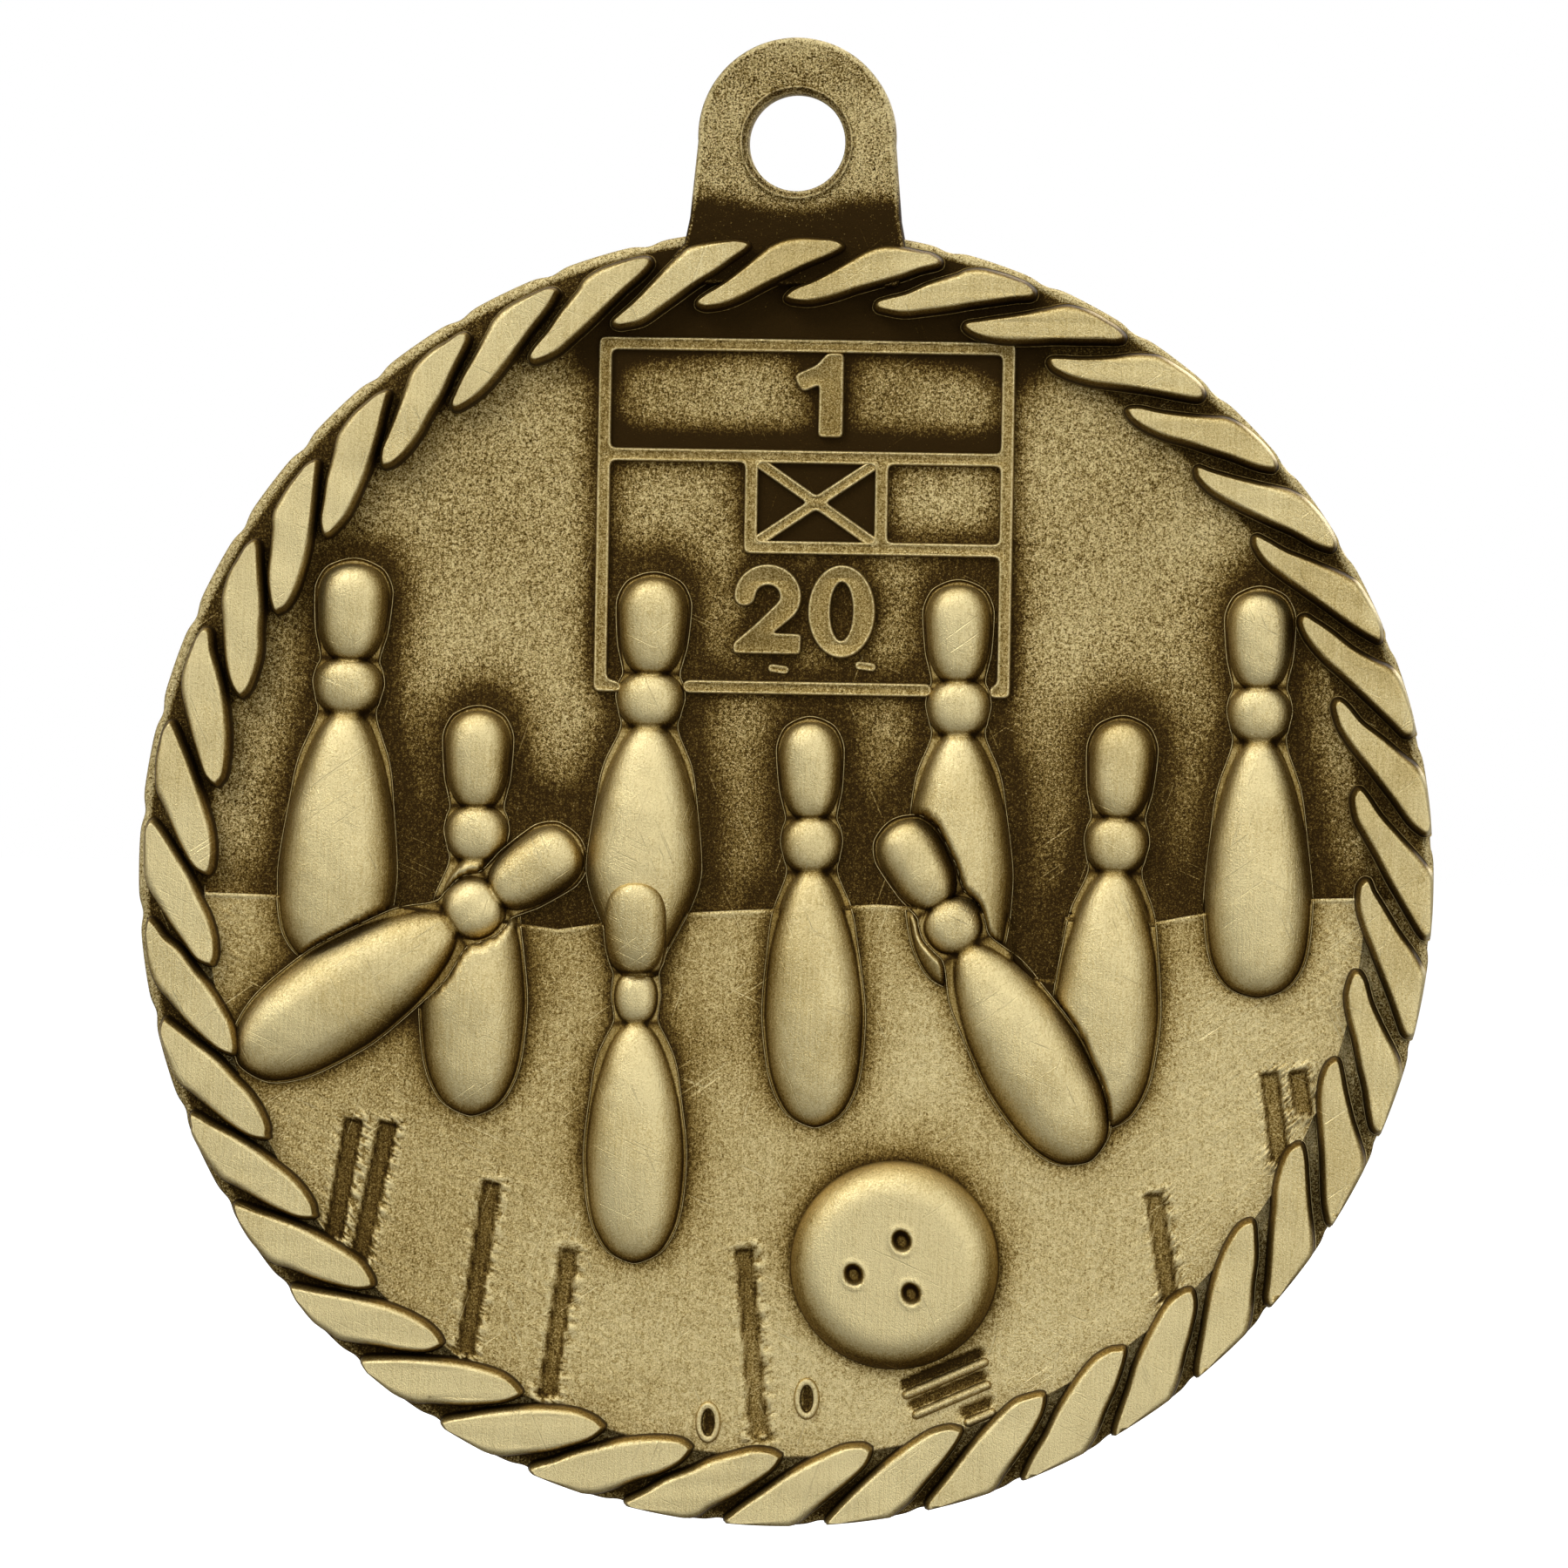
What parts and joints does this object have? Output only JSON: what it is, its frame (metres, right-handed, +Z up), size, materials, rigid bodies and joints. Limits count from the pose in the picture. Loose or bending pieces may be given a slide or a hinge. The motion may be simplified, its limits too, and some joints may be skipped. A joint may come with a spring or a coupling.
{
  "type": "bowling medal",
  "caption": "Round cast bowling medal with a rope border, bowling pins, ball, lane and scoreboard in relief, and a hanging lug with a round hole.",
  "frame": {"origin": "centre of the round hole in the hanging lug, half way through the lug's thickness", "axes": "+Z up the medal from the disc to the lug, -Y out of the relief face towards the viewer, +X to the viewer's right"},
  "size_m": [0.0508, 0.0032, 0.0582],
  "materials": {
    "antique_gold_field": "satin zinc casting plated antique gold, dark patina left in the recesses",
    "burnished_gold_relief": "antique gold plating burnished bright on the high points, dark patina at the feet",
    "antique_gold_lines": "narrow raised lines rubbed lighter than the dark patina round them"
  },
  "bodies": {
    "root": {"medal_disc": "antique_gold_field", "hanging_lug": "antique_gold_field", "lane_floor": "antique_gold_field", "bowling_ball": "burnished_gold_relief", "pin_01": "burnished_gold_relief", "pin_02": "burnished_gold_relief", "pin_03": "burnished_gold_relief", "pin_04": "burnished_gold_relief", "pin_05": "burnished_gold_relief", "pin_06": "burnished_gold_relief", "pin_07": "burnished_gold_relief", "pin_08": "burnished_gold_relief", "pin_09": "burnished_gold_relief", "pin_10": "burnished_gold_relief", "rope_strand_01": "burnished_gold_relief", "rope_strand_02": "burnished_gold_relief", "rope_strand_03": "burnished_gold_relief", "rope_strand_04": "burnished_gold_relief", "rope_strand_05": "burnished_gold_relief", "rope_strand_06": "burnished_gold_relief", "rope_strand_07": "burnished_gold_relief", "rope_strand_08": "burnished_gold_relief", "rope_strand_09": "burnished_gold_relief", "rope_strand_10": "burnished_gold_relief", "rope_strand_11": "burnished_gold_relief", "rope_strand_12": "burnished_gold_relief", "rope_strand_13": "burnished_gold_relief", "rope_strand_14": "burnished_gold_relief", "rope_strand_15": "burnished_gold_relief", "rope_strand_16": "burnished_gold_relief", "rope_strand_17": "burnished_gold_relief", "rope_strand_18": "burnished_gold_relief", "rope_strand_19": "burnished_gold_relief", "rope_strand_20": "burnished_gold_relief", "rope_strand_21": "burnished_gold_relief", "rope_strand_22": "burnished_gold_relief", "rope_strand_23": "burnished_gold_relief", "rope_strand_24": "burnished_gold_relief", "rope_strand_25": "burnished_gold_relief", "rope_strand_26": "burnished_gold_relief", "rope_strand_27": "burnished_gold_relief", "rope_strand_28": "burnished_gold_relief", "rope_strand_29": "burnished_gold_relief", "rope_strand_30": "burnished_gold_relief", "rope_strand_31": "burnished_gold_relief", "rope_strand_32": "burnished_gold_relief", "rope_strand_33": "burnished_gold_relief", "rope_strand_34": "burnished_gold_relief", "rope_strand_35": "burnished_gold_relief", "rope_strand_36": "burnished_gold_relief", "rope_strand_37": "burnished_gold_relief", "rope_strand_38": "burnished_gold_relief", "rope_strand_39": "burnished_gold_relief", "rope_strand_40": "burnished_gold_relief", "scoreboard_frame": "antique_gold_lines", "strike_mark": "antique_gold_lines", "numeral_1": "antique_gold_lines", "numeral_20": "antique_gold_lines", "motion_lines": "antique_gold_lines", "aiming_dots": "antique_gold_lines"}
  },
  "joints": []
}
